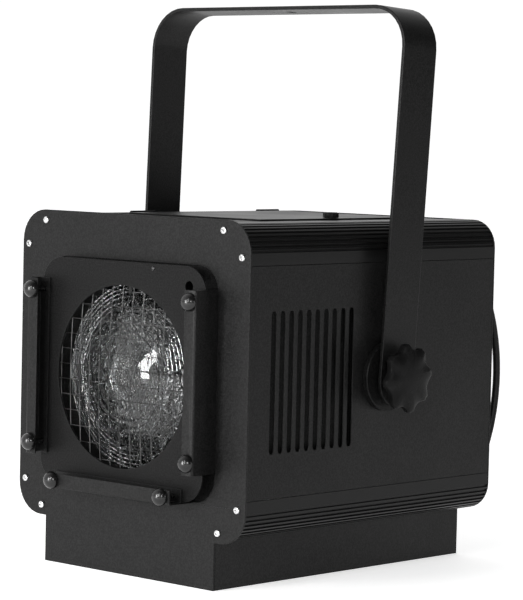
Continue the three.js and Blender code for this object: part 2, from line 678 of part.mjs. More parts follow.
function addFocusDrive() {
  const outline = rectangle(-BRACKET_HALF_WIDTH, SKIN_BOTTOM + SHEET + GAP, BRACKET_HALF_WIDTH, ROD_Z + 16);
  const holes = [
    circle(ROD_X, ROD_Z, RUNNING_HOLE, 12),
    circle(-ROD_X, ROD_Z, RUNNING_HOLE, 12),
    circle(0, ROD_Z, FOCUS_SCREW_RADIUS + 0.4, 12),
  ];
  piece('rod_bracket_front', facingFront(outline, FRONT_BRACKET_Y - 3, 3, holes), STEEL);
  piece('rod_bracket_rear', facingFront(outline, REAR_BRACKET_Y, 3, holes), STEEL);
  for (const [side, sx] of SIDES) {
    const rod = rodAlongY(FRONT_BRACKET_Y - 8, REAR_BRACKET_Y + 8, sx * ROD_X, ROD_Z, ROD_RADIUS, 12);
    piece(`guide_rod_${side}`, rod, STEEL);
  }
  const screw = rodAlongY(FRONT_BRACKET_Y - 8, BACK + 17, 0, ROD_Z, FOCUS_SCREW_RADIUS, 12);
  piece('focus_screw', screw, STEEL);
  const grip = facingFront(lobedOutline(21, 2, 8, 0), BACK + 3, 19);
  const bore = rodAlongY(BACK, BACK + 17.5, 0, 0, FOCUS_SCREW_RADIUS + 0.4, 12);
  const knob = piece('focus_knob', cut(grip, bore), BLACK_PLASTIC);
  knob.position.z = ROD_Z;
}

const SLED_HALF_LENGTH = 60;
const SLED_Z = ROD_Z + 10;
const HOLDER_TOP = OPTIC_Z - 70 - GAP;
const HOLDER_HEIGHT = 30;

function addSled() {
  const y0 = FILAMENT_Y - SLED_HALF_LENGTH;
  const y1 = FILAMENT_Y + SLED_HALF_LENGTH;
  const seat = HOLDER_TOP - HOLDER_HEIGHT - GAP;
  const plate = box(-70, y0, SLED_Z, 70, y1, SLED_Z + 2);
  const bushes = [-ROD_X, ROD_X].map((x) => box(x - 8, y0 + 5, ROD_Z - 8, x + 8, y1 - 5, SLED_Z + 1));
  const nut = box(-10, FILAMENT_Y - 12, ROD_Z - 9, 10, FILAMENT_Y + 12, SLED_Z + 1);
  const legs = [-32, 30].map((x) => box(x, FILAMENT_Y - 20, SLED_Z + 1, x + 2, FILAMENT_Y + 20, seat - 1));
  const shelf = box(-32, FILAMENT_Y - 20, seat - 2, 32, FILAMENT_Y + 20, seat);
  const strut = box(-10, FILAMENT_Y + 57, SLED_Z + 1, 10, FILAMENT_Y + 59, OPTIC_Z - 31);
  const bores = [-ROD_X, ROD_X].map((x) => rodAlongY(y0, y1, x, ROD_Z, RUNNING_HOLE, 12));
  const screwBore = rodAlongY(y0, y1, 0, ROD_Z, FOCUS_SCREW_RADIUS + 0.4, 12);
  const body = join(plate, ...bushes, nut, ...legs, shelf, strut);
  piece('focus_sled', cut(body, ...bores, screwBore), STEEL);
}

function addLampAndReflector() {
  const holder = box(-28, FILAMENT_Y - 18, HOLDER_TOP - HOLDER_HEIGHT, 28, FILAMENT_Y + 18, HOLDER_TOP);
  piece('lamp_holder', holder, CERAMIC);
  const crown = arc(0, 98, 16, 0, 90, 4).map((point) => [point.x, point.y]);
  const bulb = [[0, 0], [13, 0], [13, 12], [9, 15], [9, 20], [16, 28], ...crown];
  bulb[bulb.length - 1][0] = 0;
  piece('lamp', turned(bulb, 16, UP, [0, FILAMENT_Y, HOLDER_TOP + GAP]), GLASS);
  const outer = arc(0, 0, 62.5, -90, -35, 4).map((point) => [point.x, point.y]);
  const inner = arc(0, 0, 61, -35, -90, 4).map((point) => [point.x, point.y]);
  outer[0][0] = 0;
  inner[inner.length - 1][0] = 0;
  piece('reflector', turned([...outer, ...inner], 16, FORWARD, [0, FILAMENT_Y, OPTIC_Z]), ALUMINIUM);
}

// Rear fittings: two bow handles and the cable gland
function addRearHandles() {
  const bowRadius = 190;
  const halfHeight = 106.5;
  const depth = 33;
  const middleZ = 197;
  const footY = BACK + GAP;
  for (const [side, sx] of SIDES) {
    const x = sx * 145;
    const path = new THREE.CatmullRomCurve3(
      arc(BACK + depth - bowRadius, middleZ, bowRadius, -37, 37, 8)
        .map((point) => new THREE.Vector3(x, point.x, point.y)),
    );
    const bar = new THREE.ExtrudeGeometry(new THREE.Shape(circle(0, 0, 4, 6)), { steps: 14, extrudePath: path });
    const trim = box(x - 20, BACK - 80, middleZ - 200, x + 20, footY, middleZ + 200);
    const feet = [-1, 1].map((sz) => rodAlongY(footY, footY + 3, x, middleZ + sz * halfHeight, 9, 12));
    piece(`rear_handle_${side}`, join(cut(bar, trim), ...feet), POWDER_COAT);
  }
}

function addCableGland() {
  const profile = [
    [GLAND_BORE, 0], [12, 0], [12, 7], [10, 8], [10, 16], [7, 21], [GLAND_BORE, 21], [GLAND_BORE, 0],
  ];
  piece('cable_gland', turned(profile, 12, BACKWARD, [GLAND_X, BASE_BACK + GAP, GLAND_Z]), BLACK_PLASTIC);
}

addEndPlates();
addPlateScrews();
addCornerExtrusions();
addSidePanels();
addVentBaffles();
addTopAndBottomPanels();
addBaseTray();
addHatch();
addLensPlate();
addLensHolder();
addLens();
addWireGuard();
addRunners();
addRunnerBolts();
addPivots();
addYoke();
addClampKnobs();
addFocusDrive();
addSled();
addLampAndReflector();
addRearHandles();
addCableGland();

export default model;
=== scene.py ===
import json
import math

import bmesh
import bpy
from mathutils import Matrix, Vector


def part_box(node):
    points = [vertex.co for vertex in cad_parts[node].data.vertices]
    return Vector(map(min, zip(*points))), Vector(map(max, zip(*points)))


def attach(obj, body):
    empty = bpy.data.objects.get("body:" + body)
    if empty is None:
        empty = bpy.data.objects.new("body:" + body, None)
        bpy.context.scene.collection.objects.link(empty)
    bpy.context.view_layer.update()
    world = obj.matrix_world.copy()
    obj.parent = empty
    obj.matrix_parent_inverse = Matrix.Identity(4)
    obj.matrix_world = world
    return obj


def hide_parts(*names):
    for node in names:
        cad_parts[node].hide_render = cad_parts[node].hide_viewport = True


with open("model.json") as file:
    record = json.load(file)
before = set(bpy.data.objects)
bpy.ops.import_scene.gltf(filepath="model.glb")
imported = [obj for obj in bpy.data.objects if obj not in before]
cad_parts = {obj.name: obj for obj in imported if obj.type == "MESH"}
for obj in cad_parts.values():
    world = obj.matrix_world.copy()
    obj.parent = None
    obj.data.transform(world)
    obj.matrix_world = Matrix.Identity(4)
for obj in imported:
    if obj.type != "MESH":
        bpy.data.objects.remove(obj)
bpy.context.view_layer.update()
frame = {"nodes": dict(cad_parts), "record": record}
BODY_OF = {
    node: body
    for body, nodes in frame["record"]["behaviour"]["bodies"].items()
    for node in nodes
}
SLOT_OF = {part["node"]: part["material_slot"] for part in frame["record"]["subparts"]}
MM = 0.001
SIDES = (("right", 1), ("left", -1))
CORNERS = ("top_right", "bottom_right", "bottom_left", "top_left")
FORWARD = Vector((0, -1, 0))
BACKWARD = Vector((0, 1, 0))
UP = Vector((0, 0, 1))


# ---------------------------------------------------------------- finishes

class Finish:
    """A Principled material whose colour, roughness and relief come from procedural textures."""

    def __init__(self, name, metallic=0.0, specular=0.5, ior=1.5, transmission=0.0):
        self.material = bpy.data.materials.new(name)
        self.material.use_nodes = True
        self.nodes = self.material.node_tree.nodes
        self.links = self.material.node_tree.links
        self.shader = self.nodes["Principled BSDF"]
        self.shader.inputs["Metallic"].default_value = metallic
        self.shader.inputs["Specular IOR Level"].default_value = specular
        self.shader.inputs["IOR"].default_value = ior
        self.shader.inputs["Transmission Weight"].default_value = transmission
        self.place = self.nodes.new("ShaderNodeTexCoord").outputs["Object"]

    def stretched(self, scale):
        mapping = self.nodes.new("ShaderNodeMapping")
        mapping.inputs["Scale"].default_value = scale
        self.links.new(self.place, mapping.inputs["Vector"])
        return mapping.outputs["Vector"]

    def noise(self, scale, detail=3.0, stretch=None):
        node = self.nodes.new("ShaderNodeTexNoise")
        node.inputs["Scale"].default_value = scale
        node.inputs["Detail"].default_value = detail
        self.links.new(self.stretched(stretch) if stretch else self.place, node.inputs["Vector"])
        return node.outputs["Fac"]

    def cells(self, scale):
        node = self.nodes.new("ShaderNodeTexVoronoi")
        node.feature = "SMOOTH_F1"
        node.inputs["Scale"].default_value = scale
        self.links.new(self.place, node.inputs["Vector"])
        return node.outputs["Distance"]

    def colour(self, factor, *stops):
        ramp = self.nodes.new("ShaderNodeValToRGB")
        elements = ramp.color_ramp.elements
        for element, (position, value) in zip(elements, stops):
            element.position = position
            element.color = (*value, 1)
        self.links.new(factor, ramp.inputs["Fac"])
        self.links.new(ramp.outputs["Color"], self.shader.inputs["Base Color"])

    def roughness(self, factor, low, high):
        spread = self.nodes.new("ShaderNodeMapRange")
        spread.inputs["From Min"].default_value = 0.3
        spread.inputs["From Max"].default_value = 0.7
        spread.inputs["To Min"].default_value = low
        spread.inputs["To Max"].default_value = high
        self.links.new(factor, spread.inputs["Value"])
        self.links.new(spread.outputs["Result"], self.shader.inputs["Roughness"])

    def relief(self, height, depth, strength=1.0):
        bump = self.nodes.new("ShaderNodeBump")
        bump.inputs["Strength"].default_value = strength
        bump.inputs["Distance"].default_value = depth
        self.links.new(height, bump.inputs["Height"])
        self.links.new(bump.outputs["Normal"], self.shader.inputs["Normal"])


def grey(value):
    return (value, value, value)


def powder_coat(name, specular):
    finish = Finish(name, specular=specular)
    drift = finish.noise(11, detail=6)
    grain = finish.noise(620, detail=2)
    finish.colour(grain, (0.38, grey(0.002)), (0.66, grey(0.010)))
    finish.roughness(drift, 0.36, 0.46)
    finish.relief(grain, 0.16 * MM, 0.8)
    return finish.material


def coated_extrusion():
    finish = Finish("ribbed_extrusion", specular=0.17)
    drift = finish.noise(40, detail=5, stretch=(1, 0.05, 1))
    finish.colour(drift, (0.3, grey(0.003)), (0.7, grey(0.007)))
    finish.roughness(drift, 0.26, 0.38)
    finish.relief(finish.noise(900, detail=2, stretch=(1, 0.15, 1)), 0.08 * MM, 0.5)
    return finish.material


def moulded_plastic():
    finish = Finish("black_plastic", specular=0.07)
    drift = finish.noise(60, detail=4)
    finish.colour(drift, (0.3, grey(0.004)), (0.7, grey(0.008)))
    finish.roughness(drift, 0.20, 0.32)
    finish.relief(finish.noise(520, detail=3), 0.12 * MM, 0.7)
    return finish.material


def glossy_black():
    finish = Finish("black_bolt", specular=0.48)
    drift = finish.noise(150, detail=3)
    finish.colour(drift, (0.3, grey(0.003)), (0.7, grey(0.006)))
    finish.roughness(drift, 0.16, 0.26)
    finish.relief(finish.noise(900), 0.02 * MM, 0.5)
    return finish.material


def metal(name, dark, light, rough, stretch=None, depth=0.03):
    finish = Finish(name, metallic=1.0)
    lines = finish.noise(420, detail=4, stretch=stretch)
    finish.colour(lines, (0.3, dark), (0.7, light))
    finish.roughness(lines, rough, rough + 0.14)
    finish.relief(lines, depth * MM, 0.4)
    return finish.material


def lens_glass(name, stipple):
    finish = Finish(name, ior=1.47, transmission=1.0)
    haze = finish.noise(30, detail=5)
    finish.colour(haze, (0.3, (0.90, 0.94, 0.95)), (0.7, (0.97, 0.98, 0.98)))
    finish.roughness(haze, 0.01, 0.05)
    if stipple:
        finish.relief(finish.cells(330), 1.3 * MM, 1.0)
    else:
        finish.relief(finish.noise(260), 0.02 * MM, 0.3)
    return finish.material


def ceramic():
    finish = Finish("lamp_ceramic", specular=0.35)
    drift = finish.noise(90, detail=5)
    finish.colour(drift, (0.3, (0.62, 0.59, 0.50)), (0.7, (0.76, 0.73, 0.65)))
    finish.roughness(drift, 0.55, 0.75)
    finish.relief(finish.noise(1500), 0.04 * MM, 0.6)
    return finish.material


FINISHES = {
    "powder_coat": powder_coat("powder_coat", 0.18),
    "ribbed_extrusion": coated_extrusion(),
    "black_plastic": moulded_plastic(),
    "black_bolt": glossy_black(),
    "bright_zinc": metal("bright_zinc", grey(0.60), grey(0.82), 0.16),
    "plated_steel": metal("plated_steel", grey(0.36), grey(0.50), 0.32, stretch=(1, 0.08, 1)),
    "guard_wire": metal("guard_wire", grey(0.05), grey(0.10), 0.34, stretch=(0.2, 1, 0.2)),
    "lens_glass": lens_glass("lens_glass", False),
    "lamp_glass": lens_glass("lamp_glass", False),
    "lamp_ceramic": ceramic(),
    "reflector_aluminium": metal("reflector_aluminium", grey(0.78), grey(0.88), 0.10, depth=0.08),
}
STIPPLED_GLASS = lens_glass("stippled_glass", True)
# Painted shade: a copy of the powder coat with the same colour but weaker reflection, so it renders
# darker; it stands in for the shade on parts that sit in shade.
SHADED_COAT = powder_coat("shaded_coat", 0.10)


# ---------------------------------------------------------------- building pieces

def soften(work, sharp_angle):
    """Shades faces as one surface across edges flatter than the angle, and keeps the others crisp."""
    for face in work.faces:
        face.smooth = True
    for edge in work.edges:
        edge.smooth = edge.calc_face_angle(0) < math.radians(sharp_angle)


def add_piece(name, work, node, replaces=True, finish=None, bevel=0.0, sharp_angle=32):
    """Makes the finished mesh a piece that rides with a CAD node's body and takes its slot."""
    bmesh.ops.recalc_face_normals(work, faces=work.faces)
    soften(work, sharp_angle)
    mesh = bpy.data.meshes.new(name)
    work.to_mesh(mesh)
    work.free()
    piece = bpy.data.objects.new(name, mesh)
    bpy.context.scene.collection.objects.link(piece)
    mesh.materials.append(finish or FINISHES[SLOT_OF[node]])
    if bevel:
        rounding = piece.modifiers.new("rounded_edges", "BEVEL")
        rounding.limit_method = "ANGLE"
        rounding.angle_limit = math.radians(sharp_angle)
        rounding.width = bevel
        rounding.segments = 2
        rounding.use_clamp_overlap = False
        rounding.harden_normals = True
    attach(piece, BODY_OF[node])
    if replaces:
        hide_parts(node)
    return piece


def merge_flat_faces(work):
    """Joins neighbouring faces that lie in one plane."""
    bmesh.ops.dissolve_limit(
        work, angle_limit=math.radians(0.5), verts=work.verts, edges=work.edges
    )


def cleaned(node):
    """A copy of a CAD node's mesh with its flat faces merged."""
    work = bmesh.new()
    work.from_mesh(frame["nodes"][node].data)
    bmesh.ops.remove_doubles(work, verts=work.verts, dist=0.002 * MM)
    merge_flat_faces(work)
    return work


def refine(node, bevel=0.4 * MM, sharp_angle=32, finish=None):
    """A CAD node's own shape with its curves smooth and its edges rounded."""
    add_piece(node + "_fine", cleaned(node), node, finish=finish, bevel=bevel, sharp_angle=sharp_angle)


# A profile point nearer to the axis than this closes the end.
ON_AXIS = 1e-9


def in_mm(points):
    """Points given as (radius, height) in millimetres, in metres."""
    return [(radius * MM, height * MM) for radius, height in points]


def turned_towards(axis, origin):
    return Matrix.Translation(origin) @ UP.rotation_difference(axis).to_matrix().to_4x4()


def lathe(profile, segments, axis, origin):
    """Turns (radius, height) points about an axis; a radius of 0 closes the end."""
    work = bmesh.new()
    rings = []
    for radius, height in profile:
        count = 1 if radius < ON_AXIS else segments
        rings.append([
            work.verts.new((
                radius * math.cos(2 * math.pi * i / segments),
                radius * math.sin(2 * math.pi * i / segments),
                height,
            ))
            for i in range(count)
        ])
    for low, high in zip(rings, rings[1:]):
        for i in range(segments):
            j = (i + 1) % segments
            corners = [
                low[i % len(low)], low[j % len(low)], high[j % len(high)], high[i % len(high)],
            ]
            work.faces.new(list(dict.fromkeys(corners)))
    work.transform(turned_towards(axis, origin))
    return work


def join_rings(work, rings):
    """Walls between rings of equal length, in order; returns the rings' vertices."""
    made = [[work.verts.new(point) for point in ring] for ring in rings]
    for low, high in zip(made, made[1:]):
        for i in range(len(low)):
            j = (i + 1) % len(low)
            work.faces.new((low[i], low[j], high[j], high[i]))
    return made


def loft(rings, matrix=Matrix.Identity(4)):
    """Joins rings of equal length in order and caps both ends."""
    work = bmesh.new()
    made = join_rings(work, rings)
    work.faces.new(made[0])
    work.faces.new(made[-1])
    work.transform(matrix)
    return work


def slab(outline, holes, thickness, matrix):
    """A flat sheet with holes, drawn in its own X and Y and thickened along its own Z."""
    work = bmesh.new()
    for loop in [outline, *holes]:
        verts = [work.verts.new((x, y, 0)) for x, y in loop]
        for i, vert in enumerate(verts):
            work.edges.new((vert, verts[(i + 1) % len(verts)]))
    bmesh.ops.triangle_fill(work, use_beauty=True, use_dissolve=False, edges=work.edges)
    merge_flat_faces(work)
    made = bmesh.ops.extrude_face_region(work, geom=work.faces[:])
    moved = [part for part in made["geom"] if isinstance(part, bmesh.types.BMVert)]
    bmesh.ops.translate(work, verts=moved, vec=(0, 0, thickness))
    work.transform(matrix)
    return work


def arc(cx, cy, radius, start, end, steps):
    points = []
    for i in range(steps + 1):
        angle = math.radians(start + (end - start) * i / steps)
        points.append((cx + radius * math.cos(angle), cy + radius * math.sin(angle)))
    return points


def circle(cx, cy, radius, steps=64):
    return arc(cx, cy, radius, 0, 360 - 360 / steps, steps - 1)


def rounded_rectangle(cx, cy, width, height, radius, steps=12):
    x, y = width / 2 - radius, height / 2 - radius
    return [
        *arc(cx + x, cy - y, radius, -90, 0, steps),
        *arc(cx + x, cy + y, radius, 0, 90, steps),
        *arc(cx - x, cy + y, radius, 90, 180, steps),
        *arc(cx - x, cy - y, radius, 180, 270, steps),
    ]


def facing_front(y_back):
    """Own X and Y become the part's X and Z, and the thickness goes forward from y_back."""
    return Matrix.Translation((0, y_back, 0)) @ Matrix.Rotation(math.pi / 2, 4, "X")


def tubes(paths, radius, sides=8):
    """Round bars along open paths, as one mesh."""
    curve = bpy.data.curves.new("bars", "CURVE")
    curve.dimensions = "3D"
    curve.bevel_depth = radius
    curve.bevel_resolution = max(0, sides // 4 - 1)
    curve.use_fill_caps = True
    for path in paths:
        spline = curve.splines.new("POLY")
        spline.points.add(len(path) - 1)
        for point, place in zip(spline.points, path):
            point.co = (*place, 1)
    holder = bpy.data.objects.new("bars", curve)
    bpy.context.scene.collection.objects.link(holder)
    bpy.context.view_layer.update()
    drawn = holder.evaluated_get(bpy.context.evaluated_depsgraph_get())
    mesh = bpy.data.meshes.new_from_object(drawn)
    bpy.data.objects.remove(holder)
    work = bmesh.new()
    work.from_mesh(mesh)
    bpy.data.meshes.remove(mesh)
    return work


def centre_of(node):
    low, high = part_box(node)
    return (low + high) / 2


# ---------------------------------------------------------------- housing

def finish_sheet_metal():
    plain = [
        "front_plate", "rear_plate", "side_panel_right", "side_panel_left", "top_panel",
        "base_tray", "top_hatch", "bottom_panel",
    ]
    for node in plain:
        refine(node)
    # Painted shade: the baffles behind the vent slots and the lens holder in the gap round the lens plate
    # take the darker coat copy.
    for node in ("vent_baffle_right", "vent_baffle_left", "lens_holder"):
        refine(node, finish=SHADED_COAT)
    for corner in CORNERS:
        refine("corner_extrusion_" + corner, bevel=0.2 * MM, sharp_angle=25)
    refine("yoke", bevel=0.9 * MM)
    for place in ("front", "rear"):
        refine("hatch_hinge_" + place, bevel=0.2 * MM)


def screw_head(centre, axis, turn):
    """A domed head with a cross recess: the dome's flat crown is filled round the cross."""
    radius, height = 3.9 * MM, 2.6 * MM
    arm, width, depth = 2.4 * MM, 0.6 * MM, 1.5 * MM
    crown = 2.8 * MM
    dome = height - 0.3 * MM
    sides = 32
    steps = 5
    cross = []
    for quarter in range(4):
        rotation = Matrix.Rotation(quarter * math.pi / 2 + turn, 2)
        cross += [
            tuple(rotation @ Vector(corner))
            for corner in ((arm, -width), (arm, width), (width, width))
        ]
    work = slab(circle(0, 0, crown, sides), [cross], -depth, Matrix.Identity(4))
    work.faces.new([work.verts.new((x, y, -depth)) for x, y in cross])
    bmesh.ops.remove_doubles(work, verts=work.verts, dist=0.01 * MM)
    rings = []
    for i in range(steps + 1):
        angle = math.pi / 2 * i / steps
        ring_radius = crown + (radius - crown) * math.sin(angle)
        fall = dome * (1 - math.cos(angle))
        rings.append([(x, y, -fall) for x, y in circle(0, 0, ring_radius, sides)])
    made = join_rings(work, rings)
    work.faces.new(made[-1])
    bmesh.ops.remove_doubles(work, verts=work.verts, dist=0.01 * MM)
    work.transform(turned_towards(axis, centre + axis * height))
    return work


def add_plate_screws():
    for index, corner in enumerate(CORNERS):
        for number in (1, 2):
            node = f"plate_screw_{corner}_{number}"
            low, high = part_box(node)
            front = Vector(((low.x + high.x) / 2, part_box("front_plate")[0].y, (low.z + high.z) / 2))
            turn = 0.4 + 1.3 * index + 0.7 * number
            add_piece(node + "_head", screw_head(front, FORWARD, turn), node)
            rear = Vector((front.x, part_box("rear_plate")[1].y, front.z))
            rear_head = screw_head(rear, BACKWARD, turn + 1)
            add_piece(f"rear_screw_{corner}_{number}", rear_head, node, replaces=False)


# ---------------------------------------------------------------- lens and runners

OPTIC_Z = centre_of("fresnel_lens").z
LENS_RADIUS = 100 * MM
LENS_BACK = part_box("fresnel_lens")[1].y
LENS_RIM = 9 * MM
LENS_BULGE = 16 * MM
LENS_SIDES = 128
LENS_EYE = 22.5 * MM
LENS_EYE_DEPTH = 4 * MM
LENS_ZONE_EDGES = (34.5, 46, 54, 60.5, 66.5, 72, 77, 82, 86.5, 91, 95.5)
ZONE_GROOVE = 0.4 * MM
FLAT_ZONE_LIMIT = 45 * MM
APERTURE_RADIUS = 94.3 * MM
GUARD_WIRE = 0.45 * MM
GUARD_Y = centre_of("wire_guard").y
GUARD_BOW = 5 * MM
GUARD_STEPS = 24
GUARD_PITCH_X = 15.2 * MM
GUARD_PITCH_Z = 16 * MM
GUARD_RING_INNER = 95.8 * MM
GUARD_RING_OUTER = 101.8 * MM


def lens_height(radius):
    """How far the zones' tips stand in front of the flat back."""
    return LENS_RIM + LENS_BULGE * (1 - (radius / LENS_RADIUS) ** 2)


def zone_face(inner, outer):
    """The sloping face of one zone, from its tip out to its foot; outer zones are steeper."""
    first_slope, slope_per_mm = 18, 0.34
    slope = math.radians(first_slope + slope_per_mm * (inner / MM - LENS_EYE / MM))
    fall = (outer - inner) * math.tan(slope)
    curve = 0.04 if inner < FLAT_ZONE_LIMIT else 0.3
    points = []
    for t in (0, 0.25, 0.5, 0.75, 1):
        radius = inner + (outer - inner) * t
        points.append((radius, lens_height(inner) - fall * ((1 - curve) * t + curve * t * t)))
    return points


def add_lens():
    """Clear stepped zones round a sunk eye; the eye's floor and the flat back are stippled."""
    edges = [LENS_EYE, *(edge * MM for edge in LENS_ZONE_EDGES), LENS_RADIUS]
    eye_rim = lens_height(LENS_EYE)
    eye_floor = LENS_EYE - LENS_EYE_DEPTH
    eye_rings, back_rings = 8, 24
    lip = 0.3 * MM
    profile = [
        (eye_floor * i / eye_rings, eye_rim - LENS_EYE_DEPTH) for i in range(eye_rings + 1)
    ]
    profile.append((LENS_EYE - lip, eye_rim - lip))
    eye_faces = eye_rings * LENS_SIDES
    for inner, outer in zip(edges, edges[1:]):
        profile += zone_face(inner + ZONE_GROOVE, outer)
    profile.append((LENS_RADIUS, 0))
    work = lathe(profile, LENS_SIDES, FORWARD, (0, LENS_BACK, OPTIC_Z))
    front_count = len(work.faces)
    rings = [(LENS_RADIUS * i / back_rings, 0) for i in range(back_rings, 0, -1)]
    back = lathe([*rings, (0, 0)], LENS_SIDES, FORWARD, (0, LENS_BACK, OPTIC_Z))
    mesh = bpy.data.meshes.new("lens_back")
    back.to_mesh(mesh)
    back.free()
    work.from_mesh(mesh)
    bpy.data.meshes.remove(mesh)
    work.faces.ensure_lookup_table()
    for face in [*work.faces[front_count:], *work.faces[:eye_faces]]:
        face.material_index = 1
    bmesh.ops.remove_doubles(work, verts=work.verts, dist=0.005 * MM)
    piece = add_piece("fresnel_lens_fine", work, "fresnel_lens", sharp_angle=20)
    piece.data.materials.append(STIPPLED_GLASS)


def guard_path(offset, reach, upright, lift):
    """One wire of the guard, bowed forward in the middle; lift lets the two layers cross."""
    half = math.sqrt(reach ** 2 - offset ** 2)
    points = []
    for i in range(GUARD_STEPS + 1):
        along = half * (2 * i / GUARD_STEPS - 1)
        bow = GUARD_BOW * (1 - (along ** 2 + offset ** 2) / reach ** 2)
        x, z = (offset, along) if upright else (along, offset)
        points.append((x, GUARD_Y - bow + lift, OPTIC_Z + z))
    return points


def add_guard():
    inner, outer = GUARD_RING_INNER, GUARD_RING_OUTER
    reach = inner + 3 * MM
    wires_each_side = 6
    paths = []
    for k in range(-wires_each_side, wires_each_side + 1):
        paths.append(guard_path(k * GUARD_PITCH_X, reach, True, -GUARD_WIRE))
    for k in range(-wires_each_side, wires_each_side):
        paths.append(guard_path((k + 0.5) * GUARD_PITCH_Z, reach, False, GUARD_WIRE))
    add_piece("guard_mesh", tubes(paths, GUARD_WIRE), "wire_guard", sharp_angle=60)
    lip, rim, sheet = 3.0 * MM, 1.4 * MM, 1.0 * MM
    profile = [
        (inner, 0), (inner, rim), (outer, rim), (outer, -lip),
        (outer - sheet, -lip), (outer - sheet, 0), (inner, 0),
    ]
    ring = lathe(profile, 128, FORWARD, (0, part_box("wire_guard")[1].y - 0.1 * MM, OPTIC_Z))
    bmesh.ops.remove_doubles(ring, verts=ring.verts, dist=0.005 * MM)
    add_piece("guard_ring", ring, "wire_guard", replaces=False, bevel=0.2 * MM)


def runner_bolts():
    names = ("right_upper", "right_lower", "left_upper", "left_lower", "bottom_right", "bottom_left")
    places = []
    for name in names:
        middle = centre_of("runner_bolt_" + name)
        places.append((name, middle.x, middle.z))
    return places


def add_lens_plate():
    low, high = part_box("lens_plate")
    thickness, corner_radius, bolt_hole = 2 * MM, 28 * MM, 2.9 * MM
    pin_x, pin_height, pin_hole = 96 * MM, 98.5 * MM, 5.5 * MM
    holes = [
        circle(0, OPTIC_Z, APERTURE_RADIUS, 128),
        circle(pin_x, OPTIC_Z + pin_height, pin_hole, 32),
    ]
    holes += [circle(x, z, bolt_hole, 16) for _, x, z in runner_bolts()]
    outline = rounded_rectangle(0, OPTIC_Z, high.x - low.x, high.z - low.z, corner_radius)
    work = slab(outline, holes, thickness, facing_front(high.y))
    # Painted shade: the lens plate takes the darker coat copy.
    add_piece("lens_plate_fine", work, "lens_plate", finish=SHADED_COAT, bevel=0.4 * MM)
    add_plate_rivet(low.y)
    add_plate_clip(high.y)


def add_plate_rivet(front):
    x, height = 44.5 * MM, 114 * MM
    profile = in_mm([(0, -0.5), (2.4, -0.5), (2.4, 0), (2.2, 0.7), (1.2, 1.3), (0, 1.5)])
    rivet = lathe(profile, 24, FORWARD, (x, front, OPTIC_Z + height))
    add_piece("lens_plate_rivet", rivet, "runner_bolt_right_upper", replaces=False)


def add_plate_clip(back):
    """The small tab that stands in the aperture's upper edge."""
    x, height = 10.6 * MM, 90.5 * MM
    width, length, corner_radius, thickness = 4.4 * MM, 9 * MM, 2 * MM, 1.2 * MM
    outline = rounded_rectangle(x, OPTIC_Z + height, width, length, corner_radius, 6)
    clip = slab(outline, [], thickness, facing_front(back - 0.2 * MM))
    add_piece("lens_plate_clip", clip, "lens_plate", replaces=False, bevel=0.3 * MM)


def add_runners():
    """Each runner gets a round bend where its front lip turns into its outer wall."""
    near = 0.01 * MM
    outwards = {"right": Vector((1, 0, 0)), "left": Vector((-1, 0, 0)), "bottom": Vector((0, 0, -1))}
    for side, outward in outwards.items():
        node = "runner_" + side
        work = cleaned(node)
        reach = max(vert.co.dot(outward) for vert in work.verts)
        front = min(vert.co.y for vert in work.verts)
        bend = [
            edge for edge in work.edges
            if all(vert.co.dot(outward) > reach - near and vert.co.y < front + near for vert in edge.verts)
        ]
        bmesh.ops.bevel(work, geom=bend, offset=2.4 * MM, segments=5, profile=0.5, affect="EDGES")
        add_piece(node + "_fine", work, node, bevel=0.3 * MM)


def add_runner_bolts():
    """Domed bolts through the runners, each with a hexagon nut behind the lens plate."""
    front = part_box("runner_right")[0].y
    head, rim, shank, length = 9.3 * MM, 1.4 * MM, 2.4 * MM, 26 * MM
    nut_radius, nut_height, nut_depth = 4.6 * MM, 4 * MM, 21.1 * MM
    steps = 10
    profile = [
        (0, -length), (shank, -length), (shank, 0.3 * MM), (head - 0.6 * MM, 0.3 * MM), (head, 0.8 * MM),
    ]
    for i in range(steps):
        angle = math.pi / 2 * i / steps
        profile.append((head * math.cos(angle), rim + (head - rim) * math.sin(angle)))
    profile.append((0, head))
    for name, x, z in runner_bolts():
        node = "runner_bolt_" + name
        add_piece(node + "_fine", lathe(profile, 40, FORWARD, (x, front, z)), node, sharp_angle=40)
        hexagon = circle(x, z, nut_radius, 6)
        nut = slab(hexagon, [], nut_height, facing_front(front + nut_depth + nut_height))
        add_piece(
            node + "_nut", nut, node, replaces=False, finish=FINISHES["bright_zinc"], bevel=0.3 * MM
        )


# ---------------------------------------------------------------- pivots and knobs

KNOB_LOBES = 8
KNOB_PHASE = math.radians(7)
KNOB_HOLLOW = 30.5 * MM
KNOB_LOBE = 35.9 * MM
KNOB_ROUND = 33 * MM
KNOB_HOLLOW_SHARE = 0.76
# Distance from the part's middle in mm, share of the full radius, and roundness: 1 has no lobes.
KNOB_STATIONS = (
    (180.6, 0.44, 1.0), (181.2, 0.47, 1.0), (189.2, 0.47, 1.0), (189.9, 0.60, 0.9),
    (190.1, 0.90, 0.1), (190.3, 0.97, 0.0), (190.8, 1.0, 0.0), (196.2, 1.0, 0.0),
    (196.8, 0.985, 0.0), (197.2, 0.95, 0.0), (197.9, 0.86, 0.1), (198.6, 0.72, 0.3),
    (199.2, 0.54, 0.7), (199.6, 0.36, 1.0), (199.85, 0.18, 1.0), (199.95, 0.02, 1.0),
)


def lobe_radius(angle):
    """Blunt lobes with round hollows between them; a lobe stands at angle 0."""
    across = abs(2 * ((angle * KNOB_LOBES / (2 * math.pi)) % 1) - 1)
    hollow = max(0.0, 1 - (across / KNOB_HOLLOW_SHARE) ** 2)
    return KNOB_LOBE - (KNOB_LOBE - KNOB_HOLLOW) * hollow


def knob_ring(x, scale, roundness):
    steps = 144
    points = []
    for i in range(steps):
        angle = 2 * math.pi * i / steps
        lobed = lobe_radius(angle - KNOB_PHASE) * scale
        radius = lobed * (1 - roundness) + KNOB_ROUND * scale * roundness
        points.append((x, radius * math.cos(angle), radius * math.sin(angle)))
    return points


